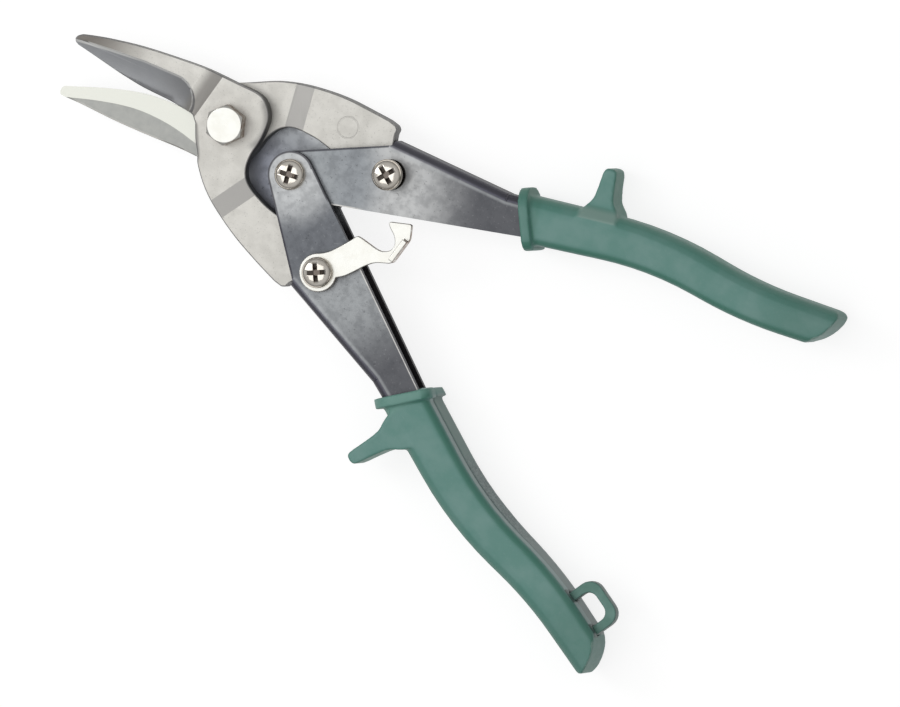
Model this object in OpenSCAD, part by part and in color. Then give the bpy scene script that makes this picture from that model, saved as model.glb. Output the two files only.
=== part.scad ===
// Compound-action aviation snips, lying on one side with the handles sprung open.
// Origin: on the blade pivot axis, in the surface that the snips lie on.
// X runs from the blade tips to the grips, Y to the upper handle, Z up out of the front face.

/* [Linkage] */
// Blade pivot to each link screw
jaw_arm = 54; // [53:0.5:56]
// Handle pivot to each link screw
handle_arm = 31.4; // [30.6:0.2:32.4]
// Half angle between the handle arms, handles open
open_angle = 36.4; // [35.6:0.2:37.6]
// Half angle between the handle arms, handles squeezed
closed_angle = 21; // [20.6:0.2:23]
// Angle from a handle's centre line to its arm
arm_lead = 14.6; // [13.8:0.2:15.4]

/* [Jaws] */
// Blade pivot to the tip of the front blade
blade_len = 55.4; // [48:0.2:62]
// Blade pivot to the root of the cutting edges
blade_root = 11; // [10:0.5:12]
// Thickness of each jaw at the blade pivot
boss_t = 4.4; // [4:0.1:5]
// Thickness of each blade at its back
blade_t = 3.5; // [3:0.1:3.9]
// Thickness of each blade at its tip
tip_t = 2.2; // [1.8:0.1:2.6]
// Thickness left at the cutting edges
edge_t = 0.9; // [0.6:0.1:1.3]
// Radius of the hollow grind
grind_r = 13; // [11:0.5:16]
// Width of the flat land behind the cutting edges, at their root
land_w = 7; // [6:0.5:8]
// Depth of the relief behind the land
relief_d = 0.3; // [0.2:0.05:0.4]
// Thickness of each tang
tang_t = 5.6; // [5.2:0.1:5.9]
// Length of the ramp from boss to tang
ramp_len = 6.3; // [5:0.1:8]
// Radius of the tang around its link screw
eye_r = 6.8; // [6:0.1:7.4]

/* [Handles] */
// Thickness of the folded sheet
sheet_t = 1.9; // [1.6:0.1:2.1]
// Radius of the plates around the handle pivot
plate_end_r = 7.2; // [6.6:0.1:7.6]
// Radius of the heel on the rear plate
heel_r = 16; // [14:0.5:16.5]
// Radius of the folds along the web
fold_r = 2.4; // [1.5:0.1:3]
// Height of the web at its jaw end
web_rise = 18.2; // [17:0.2:19]
// Handle pivot to the middle of the grip's collar
neck_len = 75.6; // [72:0.2:80]
// Width of the channel where it enters the grip
neck_w = 11.6; // [10.6:0.2:12]
// Width of the channel inside the grip
tail_w = 8.4; // [8:0.2:9]

/* [Grips] */
// Width of a grip at its collar
grip_w = 14.6; // [14.2:0.2:15.6]
// Width of a grip at its end
grip_end_w = 12; // [11.6:0.2:13.4]
// Depth of a grip
grip_d = 17; // [15.6:0.2:18.6]
// Radius of a grip's inner edges
grip_r = 3; // [2.5:0.5:4]
// Radius of a grip's outer edges
outer_r = 5; // [3:0.5:5]
// Offset of the grips from the handle's centre line
grip_off = 5.8; // [5.2:0.1:6.2]
// Toe-out of the grips at the collar
grip_toe = 2.2; // [1:0.2:3.4]
// Straight run behind the collar
run_front = 25; // [22:1:30]
// Radius of the bend towards the palm
bend_in_r = 112; // [95:1:130]
// Turn of the bend towards the palm
bend_in_a = 16.7; // [13:0.1:19]
// Straight run between the bends
run_mid = 4; // [2:0.5:10]
// Radius of the bend back
bend_out_r = 130; // [110:1:150]
// Turn of the bend back
bend_out_a = 11; // [8:0.5:13]
// Straight run at the end
run_end = 16.4; // [16:0.2:24]
// Radius of the rounded grip end
end_r = 15.5; // [15:0.5:20]
// Radius of the tip of the grip end
tip_r = 2.4; // [1.6:0.2:3]
// Thickness of the collar
collar_t = 3.2; // [2.6:0.1:4]
// Height of the collar above the grip
collar_rise = 2.4; // [1.6:0.1:3]
// Set-back of the lower collar
lower_collar_at = 1.4; // [0:0.2:1.8]
// Slant of the collar
collar_slant = 18; // [8:1:18]
// Collar to the upper horn
upper_horn_at = 21.8; // [17:0.2:24]
// Collar to the lower horn
lower_horn_at = 9.6; // [8.8:0.2:24]
// Height of the upper horn
upper_horn_h = 13.2; // [10:0.2:16]
// Height of the lower horn
lower_horn_h = 16.2; // [10:0.2:18]
// Width of a horn at its tip
horn_w = 4.2; // [3.6:0.2:6]
// Depth of a horn at its root
horn_d = 13; // [12:0.2:14]
// Depth of a horn at its tip
horn_tip_d = 11; // [9:0.2:12]

/* [Hang loop] */
// Distance of the loop from the start of the grip's end run
loop_at = 1.2; // [1:0.2:4]
// Width of the hole in the loop
loop_w = 9.6; // [8:0.2:10]
// Height of the hole in the loop
loop_h = 6; // [5.4:0.2:7]
// Thickness of the loop's bar
loop_bar = 2.9; // [2.2:0.1:3.4]
// Depth of the loop's bar
loop_d = 4.2; // [3:0.2:5]
// Depth that the loop's legs go into the grip
loop_leg = 4.4; // [3:0.2:5]

/* [Fasteners] */
// Diameter of the pivot bolt
bolt_d = 7; // [6:0.2:7.6]
// Width across flats of the pivot bolt and its nut
hex_af = 11; // [10:0.2:12]
// Height of the pivot bolt's head
bolt_head_h = 4.5; // [3.5:0.1:5.5]
// Height of the pivot nut
nut_h = 4.75; // [4.6:0.05:6]
// Thickness of the pivot washer
washer_t = 0.8; // [0.8:0.1:1.2]
// Diameter of the three screws
screw_d = 5; // [4.6:0.1:5.2]
// Diameter of the screw heads
screw_head_d = 9.6; // [8.4:0.1:9.6]
// Height of the screw heads
screw_head_h = 3; // [2.6:0.1:3.4]
// Depth of the cross recess
recess_depth = 1.9; // [1.2:0.1:2.2]
// Width across flats of the screw nuts
screw_nut_af = 8; // [7.6:0.1:8.4]
// Height of the screw nuts
screw_nut_h = 3; // [2.4:0.1:3.2]

/* [Latch] */
// Thickness of the latch
latch_t = 1.7; // [1.4:0.1:2]
// Direction of the latch hook from the lower link screw
latch_dir = 62.4; // [60:0.2:64]
// Radius of the latch around its screw
latch_eye_r = 5.9; // [5.4:0.1:6.4]
// Spare reach of the hook past the closed link screw
latch_slack = 1.1; // [0.9:0.1:1.5]
// Height of the thumb lip
lip_h = 2.4; // [1.5:0.1:3]
// Thickness of the washer under the latch
latch_washer_t = 0.5; // [0.4:0.1:0.8]

/* [Return spring] */
// Wire diameter
wire_d = 1.1; // [0.9:0.05:1.1]
// Mean radius of the coil
coil_r = 5.5; // [5.3:0.1:5.9]
// Whole turns between the legs
coil_turns = 2; // [1:1:2]
// Reach of each leg from the handle pivot
leg_reach = 17.2; // [15:0.2:17.4]
// Wall of the spacer sleeve
sleeve_wall = 1.6; // [1:0.1:1.8]

/* [Fits] */
// Gap between the two jaws
blade_gap = 0.1; // [0.06:0.02:0.2]
// Gap between plates that slide on each other
slip = 0.1; // [0.06:0.02:0.16]
// Radial play of a running pivot
pivot_play = 0.05; // [0.03:0.01:0.08]
// Radial play of the rear jaw on the upper link screw
open_play = 0.6; // [0.4:0.05:0.8]
// Gap between a channel and its grip, and a loop leg and its slot
seat_gap = 0.1; // [0.05:0.05:0.2]

/* [Hidden] */
$fn = 72;
far = 100;

// Link geometry in the handles-open pose
tang_angle = asin(handle_arm * sin(open_angle) / jaw_arm);
handle_angle = open_angle - arm_lead;
handle_pivot = [jaw_arm * cos(tang_angle) - handle_arm * cos(open_angle), 0];
upper_link = jaw_arm * [cos(tang_angle), sin(tang_angle)];
lower_link = [upper_link[0], -upper_link[1]];
link_on_handle = handle_arm * [cos(arm_lead), sin(arm_lead)];
link_closed = 2 * handle_arm * sin(closed_angle);

// Heights above the shear plane between the jaws
face_z = blade_gap / 2;
boss_z = face_z + boss_t;
outer_z = boss_z + slip;
inner_z = outer_z - sheet_t - slip;
front_z = outer_z + sheet_t;
rear_z = inner_z + sheet_t;
channel_off = (outer_z - inner_z) / 2;
channel_gap = outer_z + inner_z;
tang_front = channel_off + tang_t / 2;
tang_rear = tang_t / 2 - channel_off;
link_washer_t = (channel_gap - tang_t) / 2 - slip;
shear_z = boss_z + washer_t + nut_h;

// Height of the latch and of the screw heads above it
latch_z = front_z + latch_washer_t;
latch_top = latch_z + latch_t;
lower_head_z = latch_top + slip;
upper_head_z = lower_head_z + slip;
flange_t = 1;

// Jaw outline: points of the tang are measured along the arm, those of the blades as a share of its length
ramp_at = 16.4;
front_tang = [[5, 14.8], [12.4, 16.9], [20.7, 17.6], [30, 17.2], [39.6, 15.8], [jaw_arm - 6.1, 14.2]];
rear_tang = [[3.1, 14.6], [10.3, 17.1], [17.9, 18.4], [25.7, 18.7], [33.8, 18.2], [42.2, 16.7],
    [jaw_arm - 6.1, 15.6]];
tang_corner = [[2.7, -1], [3.5, -2.1], [3.2, -3.7]];
tang_waist = [[45, -4.3], [36, 0.2], [29, 3.1], [24.6, 4.2], [20.4, 4.7], [16.8, 4.1], [13.8, 2], [11.5, -1.4]];
boss_side = [[11.2, -1.3], [10.6, -5.3], [9.3, -9.3], [6.3, -12.3], [2.3, -13.5]];
front_back = [[-0.14, -12.2], [0.1, -10], [0.32, -7], [0.576, -3], [0.778, 0.9], [0.895, 3.5], [0.971, 5.4]];
front_tip = [[0.995, 6.6], [1, 7.6], [0.99, 8.6]];
front_edge = [[0.96, 9], [0.83, 8.7], [0.68, 8.4], [0.57, 8.1], [0.42, 7.4], [0.3, 6.4], [0.21, 5.6], [0.1, 4.9],
    [0, 4.1]];
front_cheek = [[-8.7, 5.7], [-5.7, 9.7], [-2.7, 12.7]];
rear_back = [[-0.19, -14.3], [-0.01, -16.1], [0.22, -18.8], [0.445, -21.2], [0.68, -23.2], [0.842, -24.8]];
rear_tip = [[0.868, -24.9], [0.88, -24], [0.885, -22.9]];
rear_edge = [[0.872, -21.9], [0.8, -19.8], [0.68, -16.2], [0.56, -12.9], [0.445, -10.1], [0.334, -7.9],
    [0.213, -6.2], [0.106, -5.1], [0, -4.4]];
rear_cheek = [[-12.4, -0.5], [-12, 5], [-9, 9.2], [-5.2, 12.3]];
front_grind = [[-20, 4.8], [-53, 13]];
rear_grind = [[-20, -7], [-48, -20]];
blade_ramp = [-16, -10];

// Handle outline in the handle's own frame: X along the handle, Y outwards
web_at = link_on_handle[0] - 1.6;
shoulder = [web_at - 0.4, web_rise - 1.5];
knee = [neck_len - 8, grip_off + neck_w / 2];
heel_drop = 1.1;
tail_short = 12;

// Centre line of a grip: [x, y, heading, distance from the collar] at each station
bend_in_len = bend_in_r * bend_in_a * PI / 180;
bend_out_len = bend_out_r * bend_out_a * PI / 180;
grip_len = run_front + bend_in_len + run_mid + bend_out_len + run_end;
bend_steps = 6;
grip_start = [neck_len, grip_off, grip_toe, 0];
front_stop = go(grip_start, run_front);
mid_run = bend(front_stop, bend_in_r, -bend_in_a);
mid_stop = go(mid_run, run_mid);
end_run = bend(mid_stop, bend_out_r, bend_out_a);
grip_stop = go(end_run, run_end);
grip_curve = concat(
    [grip_start],
    [for (i = [0:bend_steps]) bend(front_stop, bend_in_r, -bend_in_a * i / bend_steps)],
    [for (i = [0:bend_steps]) bend(mid_stop, bend_out_r, bend_out_a * i / bend_steps)]
);
grip_stations = concat(grip_curve, [grip_stop]);
tail_stations = concat(grip_curve, [go(end_run, run_end - tail_short)]);
loop_seat = grip_width(end_run[3] + loop_at) / 2;

// Latch outline: the hook is placed from the middle of its notch
notch_at = link_closed + latch_slack;
lip_from = [notch_at + 6.4, -4.2];
lip_to = [notch_at - 0.5, -7.7];

// Spring coil: where the legs leave it, and its rise per turn
leg_angle = 41;
leave_angle = leg_angle + acos(coil_r / leg_reach);
coil_angle = 360 * coil_turns - 2 * leave_angle + 360;
coil_rise = channel_gap - 2 * channel_off - wire_d - 3 * slip;
coil_steps = 24;

function turn(p, a) = [p[0] * cos(a) - p[1] * sin(a), p[0] * sin(a) + p[1] * cos(a)];
function turned(q, a) = [for (p = q) turn(p, a)];
function arc(c, r, from, to, n) =
    [for (i = [0:n]) c + r * [cos(from + (to - from) * i / n), sin(from + (to - from) * i / n)]];
// The next station, straight on or round a bend, with left turns positive
function go(p, d) = [p[0] + d * cos(p[2]), p[1] + d * sin(p[2]), p[2], p[3] + d];
function bend(p, r, a) = [
    p[0] + sign(a) * r * (sin(p[2] + a) - sin(p[2])),
    p[1] - sign(a) * r * (cos(p[2] + a) - cos(p[2])),
    p[2] + a,
    p[3] + r * abs(a) * PI / 180
];
function beside(stations, d) = [for (p = stations) [p[0] - d * sin(p[2]), p[1] + d * cos(p[2])]];
function tail_side(side, grow = 0) =
    [for (p = tail_stations) beside([p], side * ((p[3] > 0 ? tail_w : neck_w) / 2 + grow))[0]];
function reversed(q) = [for (i = [len(q) - 1:-1:0]) q[i]];
function grip_width(along) = grip_w + (grip_end_w - grip_w) * along / grip_len;
function on_blade(q) = [for (p = q) [-blade_root - p[0] * (blade_len - blade_root), p[1]]];

// Smooth curve through the points q, with n steps from each point to the next
function smooth(q, n = 4) = concat(
    [for (i = [0:len(q) - 2], k = [0:n - 1])
        let (
            t = k / n,
            a = q[max(i - 1, 0)],
            b = q[i],
            c = q[i + 1],
            d = q[min(i + 2, len(q) - 1)]
        )
        b + (c - a) * t / 2 + (2 * a - 5 * b + 4 * c - d) * t * t / 2 + (3 * b - a - 3 * c + d) * t * t * t / 2],
    [q[len(q) - 1]]
);

// Points of a rectangle with round corners, centred; far_r is for the corners on the right
function round_box(w, h, r, far_r, n = 6) = concat(
    arc([w / 2 - far_r, h / 2 - far_r], far_r, 0, 90, n),
    arc([r - w / 2, h / 2 - r], r, 90, 180, n),
    arc([r - w / 2, r - h / 2], r, 180, 270, n),
    arc([w / 2 - far_r, far_r - h / 2], far_r, 270, 360, n)
);

// Direction in which the line from p touches the circle of radius r round the origin, on its left or right
function touch(p, r, side) = atan2(p[1], p[0]) + side * acos(r / norm(p));

module at(p, z = 0) {
    translate([p[0], p[1], shear_z + z])
        children();
}

// Puts a shape drawn in the handle's frame on the upper or the lower handle
module on_upper() {
    at(handle_pivot)
        rotate([0, 0, handle_angle])
            children();
}

module on_lower() {
    at(handle_pivot)
        rotate([0, 0, -handle_angle])
            rotate([180, 0, 0])
                children();
}

// Extrudes a section, drawn across and up, along X
module along_x(len) {
    rotate([90, 0, 90])
        linear_extrude(len)
            children();
}

module bore(d, p = [0, 0]) {
    translate([p[0], p[1], -far / 2])
        cylinder(d = d, h = far);
}

// Jaw with its tang on the +Y side and its flat face up, as the rear jaw lies
module jaw_outline(back, tip, edge, cheek, tang) {
    polygon(concat(
        smooth(concat(cheek, turned(tang, tang_angle))),
        turned([for (p = tang_corner) tang[len(tang) - 1] + p], tang_angle),
        turned(arc([jaw_arm, 0], eye_r, 110, -100, 14), tang_angle),
        smooth(concat(turned(tang_waist, tang_angle), boss_side, on_blade(back))),
        on_blade(tip),
        smooth(on_blade(edge))
    ));
}

module jaw_levels() {
    rotate([0, 0, tang_angle])
        rotate([90, 0, 0])
            linear_extrude(2 * far, center = true)
                polygon([
                    [-far, -boss_z], [ramp_at, -boss_z], [ramp_at + ramp_len, -tang_front], [far, -tang_front],
                    [far, tang_rear], [ramp_at + ramp_len, tang_rear], [ramp_at, -face_z], [-far, -face_z]
                ]);
}

module blade_relief() {
    rotate([90, 0, 0])
        linear_extrude(2 * far, center = true)
            polygon([
                [blade_ramp[1], -boss_z - 1], [blade_ramp[1], -boss_z], [blade_ramp[0], -face_z - blade_t],
                [-blade_len * 0.6, -face_z - blade_t], [-blade_len, -face_z - tip_t],
                [-far, -face_z - tip_t], [-far, -boss_z - 1]
            ]);
}

module hollow_grind(line) {
    run = line[1] - line[0];
    translate([line[0][0], line[0][1], -face_z - edge_t - grind_r])
        rotate([0, 0, atan2(run[1], run[0])])
            rotate([0, 90, 0])
                union() {
                    sphere(r = grind_r);
                    cylinder(r = grind_r, h = far);
                }
}

// Shallow relief on the flat face, behind a land that narrows to half its width at the tip
module land_relief(edge) {
    root_y = edge[len(edge) - 1][1] - land_w;
    translate([0, 0, -face_z - relief_d])
        linear_extrude(far)
            polygon(concat(
                smooth(on_blade([for (p = edge) p - [0, land_w * (1 - p[0] / 2)]])),
                [[-blade_root * 0.3, root_y], [-blade_root * 0.3, -far], [-far, -far]]
            ));
}

module jaw(back, tip, edge, cheek, tang, grind, eye_play) {
    difference() {
        intersection() {
            translate([0, 0, -far / 2])
                linear_extrude(far)
                    jaw_outline(back, tip, edge, cheek, tang);
            jaw_levels();
        }
        blade_relief();
        hollow_grind(grind);
        land_relief(edge);
        bore(bolt_d + 2 * pivot_play);
        bore(screw_d + 2 * eye_play, upper_link);
    }
}

module front_jaw() {
    color([0.70, 0.69, 0.66])
        at([0, 0])
            rotate([180, 0, 0])
                jaw(front_back, front_tip, front_edge, front_cheek, front_tang, front_grind, pivot_play);
}

module rear_jaw() {
    color([0.62, 0.62, 0.60])
        at([0, 0])
            jaw(rear_back, rear_tip, rear_edge, rear_cheek, rear_tang, rear_grind, open_play);
}

// Hexagon with its free end chamfered, standing on z = 0
module hex(af, h) {
    corner_r = af / 2 / cos(30);
    intersection() {
        cylinder(r = corner_r, h = h, $fn = 6);
        rotate_extrude()
            polygon([[0, 0], [corner_r, 0], [corner_r, h - corner_r * 0.1], [corner_r * 0.84, h], [0, h]]);
    }
}

module pivot_bolt() {
    color([0.86, 0.86, 0.84])
        at([0, 0]) {
            translate([0, 0, boss_z])
                hex(hex_af, bolt_head_h);
            translate([0, 0, -shear_z])
                cylinder(d = bolt_d, h = shear_z + boss_z);
        }
}

module pivot_washer() {
    color([0.78, 0.78, 0.76])
        at([0, 0], -boss_z - washer_t)
            difference() {
                cylinder(r = hex_af * 0.6, h = washer_t);
                bore(bolt_d + 2 * pivot_play);
            }
}

module nut(af, h, d) {
    rotate([180, 0, 0])
        difference() {
            hex(af, h);
            bore(d);
        }
}

module pivot_nut() {
    color([0.82, 0.82, 0.80])
        at([0, 0], -boss_z - washer_t)
            nut(hex_af, nut_h, bolt_d);
}

// Cross-recessed pan head with a domed top, standing on z = 0
module pan_head() {
    r = screw_head_d / 2;
    h = screw_head_h;
    rim = h * 0.25;
    dome = [for (a = [0:9:81]) [r * pow(cos(a), 0.8), rim + (h - rim) * pow(sin(a), 0.8)]];
    difference() {
        rotate_extrude()
            polygon(concat([[0, 0], [r, 0]], dome, [[0, h]]));
        for (a = [0, 90])
            translate([0, 0, h])
                rotate([0, 0, a])
                    rotate([90, 0, 0])
                        linear_extrude(screw_d * 0.3, center = true)
                            polygon([[-r * 0.74, 1], [-r * 0.74, -0.3], [-r * 0.2, -recess_depth],
                                [r * 0.2, -recess_depth], [r * 0.74, -0.3], [r * 0.74, 1]]);
    }
}

// Screw from its head's underside down to the end of its nut
module screw(head_z, end_z) {
    translate([0, 0, head_z])
        pan_head();
    translate([0, 0, end_z])
        cylinder(d = screw_d, h = head_z - end_z);
}

module handle_pivot_screw() {
    color([0.80, 0.80, 0.78])
        at(handle_pivot)
            rotate([0, 0, 20])
                screw(front_z, -front_z - screw_nut_h);
}

module handle_pivot_nut() {
    color([0.78, 0.78, 0.76])
        at(handle_pivot, -front_z)
            nut(screw_nut_af, screw_nut_h, screw_d);
}

module handle_pivot_sleeve() {
    color([0.55, 0.55, 0.56])
        at(handle_pivot, -inner_z + slip)
            difference() {
                cylinder(r = screw_d / 2 + pivot_play + sleeve_wall, h = 2 * (inner_z - slip));
                bore(screw_d + 2 * pivot_play);
            }
}

// The upper link's head stands off the plate on a neck, so that the latch can hook under it
module upper_link_screw() {
    color([0.80, 0.80, 0.78])
        at(upper_link) {
            rotate([0, 0, -25])
                screw(upper_head_z, -front_z - screw_nut_h);
            translate([0, 0, rear_z])
                cylinder(d = screw_head_d, h = flange_t);
        }
}

module upper_link_nut() {
    color([0.78, 0.78, 0.76])
        at(upper_link, -front_z)
            nut(screw_nut_af, screw_nut_h, screw_d);
}

module lower_link_screw() {
    color([0.80, 0.80, 0.78])
        at(lower_link)
            rotate([0, 0, 40])
                screw(lower_head_z, -rear_z - screw_nut_h);
}

module lower_link_nut() {
    color([0.78, 0.78, 0.76])
        at(lower_link, -rear_z)
            nut(screw_nut_af, screw_nut_h, screw_d);
}

// Two washers that centre a tang between the plates of its channel, seen as on the upper handle
module link_washers() {
    for (z = [-outer_z + slip / 2, inner_z - slip / 2 - link_washer_t])
        translate([0, 0, z])
            difference() {
                cylinder(r = eye_r - 1, h = link_washer_t);
                bore(screw_d + 2 * pivot_play);
            }
}

module upper_link_washers() {
    color([0.72, 0.62, 0.42])
        at(upper_link)
            link_washers();
}

module lower_link_washers() {
    color([0.72, 0.62, 0.42])
        at(lower_link)
            rotate([180, 0, 0])
                link_washers();
}

// Both side plates, the web and the tail inside the grip, seen from above
module channel_outline(grow = 0) {
    polygon(concat(
        [shoulder, [web_at, web_rise], knee + [0, grow]],
        tail_side(1, grow),
        reversed(tail_side(-1, grow)),
        arc([0, 0], plate_end_r, touch(tail_side(-1)[0], plate_end_r, -1) + 360, touch(shoulder, plate_end_r, 1), 20)
    ));
}

// Everything between the plates apart from the web
module channel_hollow() {
    drop = [0, -sheet_t * 1.02];
    polygon(concat(
        [[-far, -far], [-far, far], [web_at, far], [web_at, web_rise] + drop, knee + drop],
        tail_side(1, -sheet_t),
        reversed(beside(tail_stations, -tail_w)),
        [[neck_len, -far]]
    ));
}

// Rounds the fold between a plate and the web from p to q, on the side that up points to
module fold_cut(p, q, z, up) {
    run = q - p;
    translate([p[0], p[1], z])
        rotate([0, 0, atan2(run[1], run[0])])
            translate([-0.5, 0, 0])
                along_x(norm(run) + 1)
                    difference() {
                        translate([-fold_r, up > 0 ? -fold_r : -1])
                            square([fold_r + 1, fold_r + 1]);
                        translate([-fold_r, -up * fold_r])
                            circle(r = fold_r);
                    }
}

// Folded channel in the handle's frame, as on the upper handle
module channel(heel) {
    web_start = [web_at, web_rise];
    fold = [web_start + (web_start - knee) / 30, knee, [neck_len - 1.2, knee[1]]];
    difference() {
        union() {
            difference() {
                translate([0, 0, -front_z])
                    linear_extrude(front_z + rear_z)
                        channel_outline();
                translate([0, 0, -outer_z])
                    linear_extrude(channel_gap)
                        channel_hollow();
                for (i = [0, 1]) {
                    fold_cut(fold[i], fold[i + 1], rear_z, 1);
                    fold_cut(fold[i], fold[i + 1], -front_z, -1);
                }
            }
            if (heel)
                translate([0, -heel_drop, -front_z])
                    cylinder(r = heel_r, h = sheet_t);
        }
        bore(screw_d + 2 * pivot_play);
        bore(screw_d, link_on_handle);
    }
}

module lower_channel() {
    color([0.42, 0.43, 0.45])
        on_lower()
            channel(false);
}

module upper_channel() {
    color([0.42, 0.43, 0.45])
        on_upper()
            channel(true);
}

module collar(pos) {
    w = grip_w + 2 * collar_rise;
    at_pose(go(grip_start, pos))
        rotate([0, 0, collar_slant])
            translate([-collar_t / 2, 0, 0])
                along_x(collar_t)
                    polygon(round_box(w, 2 * shear_z, grip_r + 1, outer_r + collar_rise));
}

// Flush with the grip at the back, and at the front on a ramp that rises to the grip's face
module horn(pos, h) {
    w = horn_w / 2;
    side = [[-w - 4.6, -4.8], [-w - 3.6, -0.2], [-w - 1.2, h * 0.25], [-w - 0.4, h * 0.6], [-w, h * 0.9],
        [-w * 0.6, h]];
    back = 0.3 - grip_d / 2;
    at_pose(go(grip_start, pos))
        translate([0, grip_w / 2, 0])
            intersection() {
                translate([0, 0, -far / 2])
                    linear_extrude(far)
                        polygon(smooth(concat(side, [for (p = reversed(side)) [-p[0], p[1]]]), 3));
                translate([-far / 2, 0, 0])
                    along_x(far)
                        polygon([[-far, back], [h + 1, back], [h + 1, back + horn_tip_d],
                            [1.2, back + horn_d], [-2.6, -back], [-far, -back]]);
            }
}

// Tapered bar with round edges along the grip's centre line, from pos on
module grip_bar(pos) {
    stations = [for (p = grip_stations) p[3] > 0 ? p : go(p, pos)];
    rings = [for (p = stations)
        let (w = grip_width(p[3]))
            [for (q = round_box(w, grip_d, grip_r, outer_r, 4))
                [p[0] - q[0] * sin(p[2]), p[1] + q[0] * cos(p[2]), q[1]]]];
    skin(rings);
}

module at_pose(p) {
    translate([p[0], p[1], 0])
        rotate([0, 0, p[2]])
            children();
}

module grip(horn_at, horn_h, collar_at) {
    difference() {
        union() {
            difference() {
                grip_bar(collar_at);
                at_pose(grip_stop) {
                    difference() {
                        translate([-end_r / 2, -grip_w, -grip_d])
                            cube([end_r, 2 * grip_w, 2 * grip_d]);
                        translate([0.3 - end_r, grip_end_w * 0.65, -far / 2])
                            cylinder(r = end_r, h = far);
                    }
                    translate([-tip_r, grip_end_w / 2 - tip_r, -grip_d])
                        linear_extrude(2 * grip_d)
                            difference() {
                                square(tip_r + 1);
                                circle(r = tip_r);
                            }
                }
            }
            collar(collar_at);
            horn(horn_at, horn_h);
        }
        translate([0, 0, -front_z - seat_gap])
            linear_extrude(front_z + rear_z + 2 * seat_gap)
                channel_outline(seat_gap);
    }
}

// Loop outline at its place on the grip; grow widens the legs for their slots
module loop_legs(grow = 0) {
    for (side = [-1, 1])
        translate([side * (loop_w + loop_bar) / 2 - loop_bar / 2 - grow, -loop_seat, -loop_d / 2 - grow])
            cube([loop_bar + 2 * grow, loop_leg + grow, loop_d + 2 * grow]);
}

module on_loop() {
    at_pose(end_run)
        translate([loop_at, 0, -channel_off])
            children();
}

module hang_loop() {
    w = loop_w + 2 * loop_bar;
    h = loop_h + loop_bar;
    r = loop_bar + 1.4;
    color([0.45, 0.52, 0.50])
        on_lower()
            on_loop() {
                loop_legs();
                translate([0, -loop_seat, -loop_d / 2])
                    linear_extrude(loop_d)
                        difference() {
                            intersection() {
                                polygon(round_box(w, 2 * h, r, r));
                                translate([-far, -2 * far])
                                    square(2 * far);
                            }
                            polygon(round_box(loop_w, 2 * loop_h, loop_bar, loop_bar));
                        }
            }
}

module lower_grip() {
    color([0.36, 0.52, 0.48])
        on_lower()
            difference() {
                grip(lower_horn_at, lower_horn_h, lower_collar_at);
                on_loop()
                    loop_legs(seat_gap);
            }
}

module upper_grip() {
    color([0.36, 0.52, 0.48])
        on_upper()
            grip(upper_horn_at, upper_horn_h, 0);
}

// Latch outline with its screw at the origin and its hook along X
module latch_outline() {
    n = notch_at;
    union() {
        circle(r = latch_eye_r);
        polygon(concat(
            smooth([[1.9, 5.5], [5.7, 4.3], [10, 4.2], [13.8, 4.4], [n - 7.9, 4.6], [n - 6.9, 4.1], [n - 5.2, 1.2],
                [n - 3.2, -2.2], [n - 1.4, -3.5], [n + 0.4, -3.8], [n + 2, -2.9], [n + 3, -0.6], [n + 3, 2.2],
                [n + 3.2, 3.7]]),
            [[n + 3.7, 4], [n + 4.2, 3.8], [n + 9.2, 0.6], [n + 9.5, 0], [n + 9.2, -0.6], [n + 7.3, -3.5]],
            [lip_from, lip_to],
            smooth([[n - 2.2, -7.3], [n - 5.8, -5.3], [14.6, -4.7], [11.3, -4.7], [7.2, -4.6], [4.3, -3.8]])
        ));
    }
}

module latch() {
    run = lip_to - lip_from;
    color([0.90, 0.90, 0.87])
        at(lower_link, latch_z)
            rotate([0, 0, latch_dir])
                difference() {
                    union() {
                        linear_extrude(latch_t)
                            latch_outline();
                        translate(lip_from)
                            rotate([0, 0, atan2(run[1], run[0])])
                                translate([0, -latch_t, 0])
                                    cube([norm(run), latch_t, latch_t + lip_h]);
                    }
                    bore(screw_d + 2 * pivot_play);
                }
}

module latch_washer() {
    color([0.72, 0.62, 0.42])
        at(lower_link, front_z)
            difference() {
                cylinder(r = latch_eye_r - 0.5, h = latch_washer_t);
                bore(screw_d + 2 * pivot_play);
            }
}

// Points along the spring wire: one leg, the coil, the other leg
leg_end = leg_reach * [cos(leg_angle), sin(leg_angle)];
coil_count = floor(coil_steps * coil_angle / 360);
coil_points = [for (i = [0:coil_count])
    let (a = leave_angle + coil_angle * i / coil_count)
        [coil_r * cos(a), coil_r * sin(a), coil_rise * (i / coil_count - 0.5)]];
wire_path = concat(
    [[leg_end[0], leg_end[1], -coil_rise / 2]],
    coil_points,
    [[leg_end[0], -leg_end[1], coil_rise / 2]]
);
echo(spring_gap = min([for (i = [0:coil_count], k = [0:coil_count])
    if (k - i > coil_steps / 2) norm(coil_points[k] - coil_points[i])]) - wire_d);

// Closed skin over rings of points, each ring with the same number of them
module skin(rings) {
    sides = len(rings[0]);
    last = len(rings) - 1;
    walls = [for (i = [0:last - 1], k = [0:sides - 1])
        let (a = i * sides + k, b = i * sides + (k + 1) % sides)
            each [[a, b + sides, b], [a, a + sides, b + sides]]];
    ends = [[for (k = [0:sides - 1]) k], [for (k = [sides - 1:-1:0]) last * sides + k]];
    polyhedron([for (ring = rings) each ring], concat(walls, ends));
}

// Round tube along a path that never runs upright
module tube(path, d, sides) {
    last = len(path) - 1;
    skin([for (i = [0:last])
        let (
            run = path[min(i + 1, last)] - path[max(i - 1, 0)],
            level = cross(run, [0, 0, 1]) / norm(cross(run, [0, 0, 1])),
            up = cross(level, run) / norm(run)
        )
        [for (k = [0:sides - 1])
            path[i] + d / 2 * (level * cos(360 * k / sides) + up * sin(360 * k / sides))]]);
}

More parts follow.
